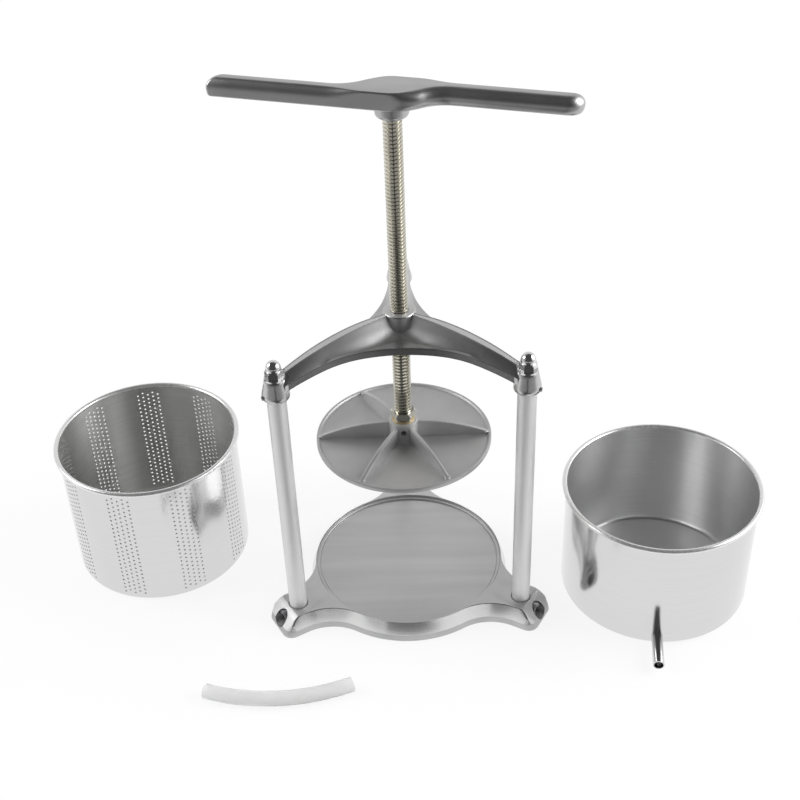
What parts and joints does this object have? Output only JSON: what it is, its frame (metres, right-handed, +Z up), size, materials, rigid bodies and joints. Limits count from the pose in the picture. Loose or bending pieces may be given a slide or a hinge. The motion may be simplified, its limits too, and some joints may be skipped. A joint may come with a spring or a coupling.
{
  "type": "bench fruit and wine press",
  "caption": "Screw press with a round footed base, slim columns, an arched yoke, a bar handle and a ribbed press plate, with its perforated basket, spouted pot and drain hose beside it.",
  "frame": {"origin": "on the floor under the screw, at the middle of the base's underside", "axes": "+Z up along the screw, the front of the press towards -Y, the pot towards +X and the basket towards -X"},
  "size_m": [0.6352, 0.3015, 0.484],
  "materials": {
    "cast_aluminium": "satin, machined on top",
    "handle_casting": "dark satin casting",
    "column_steel": "satin ground",
    "screw_steel": "bright zinc",
    "chrome": "polished",
    "fastener_steel": "satin",
    "bronze": "satin",
    "stainless_sheet": "polished outside, brushed inside",
    "clear_hose": "clear flexible tube"
  },
  "bodies": {
    "frame": {"base": "cast_aluminium", "column_left": "column_steel", "column_right": "column_steel", "column_rear": "column_steel", "yoke": "cast_aluminium", "clamp_screw_left": "fastener_steel", "clamp_screw_right": "fastener_steel", "clamp_screw_rear": "fastener_steel", "set_screw_left": "fastener_steel", "set_screw_right": "fastener_steel", "set_screw_rear": "fastener_steel", "washer_left": "chrome", "washer_right": "chrome", "washer_rear": "chrome", "acorn_nut_left": "chrome", "acorn_nut_right": "chrome", "acorn_nut_rear": "chrome", "drain_hose": "clear_hose"},
    "carriage": {"thrust_washer": "bronze"},
    "screw": {"press_screw": "screw_steel", "handle": "handle_casting", "handle_grub_screw": "fastener_steel", "lock_nut": "screw_steel"},
    "plate": {"press_plate": "cast_aluminium", "plate_grub_screw": "fastener_steel"},
    "basket": {"basket": "stainless_sheet"},
    "pot": {"pot": "stainless_sheet", "spout": "stainless_sheet"}
  },
  "joints": [
    {"name": "press_feed", "type": "slide", "parent": "frame", "child": "carriage", "axis": [0, 0, 1], "range_m": [-0.1405, 0.0685]},
    {"name": "screw_turn", "type": "hinge", "parent": "carriage", "child": "screw", "pos_m": [0, 0, 0.2], "axis": [0, 0, 1], "range_deg": [-15874, 7710.2]},
    {"name": "plate_swivel", "type": "hinge", "parent": "carriage", "child": "plate", "pos_m": [0, 0, 0.17], "axis": [0, 0, 1], "continuous": true},
    {"name": "basket_lift", "type": "slide", "parent": "frame", "child": "basket", "axis": [0, 0, 1], "range_m": [0, 0.25]},
    {"name": "pot_lift", "type": "slide", "parent": "frame", "child": "pot", "axis": [0, 0, 1], "range_m": [0, 0.25]}
  ],
  "couplings": [
    {"joint": "press_feed", "follows": "screw_turn", "m_per_rad": 0.00050532}
  ]
}
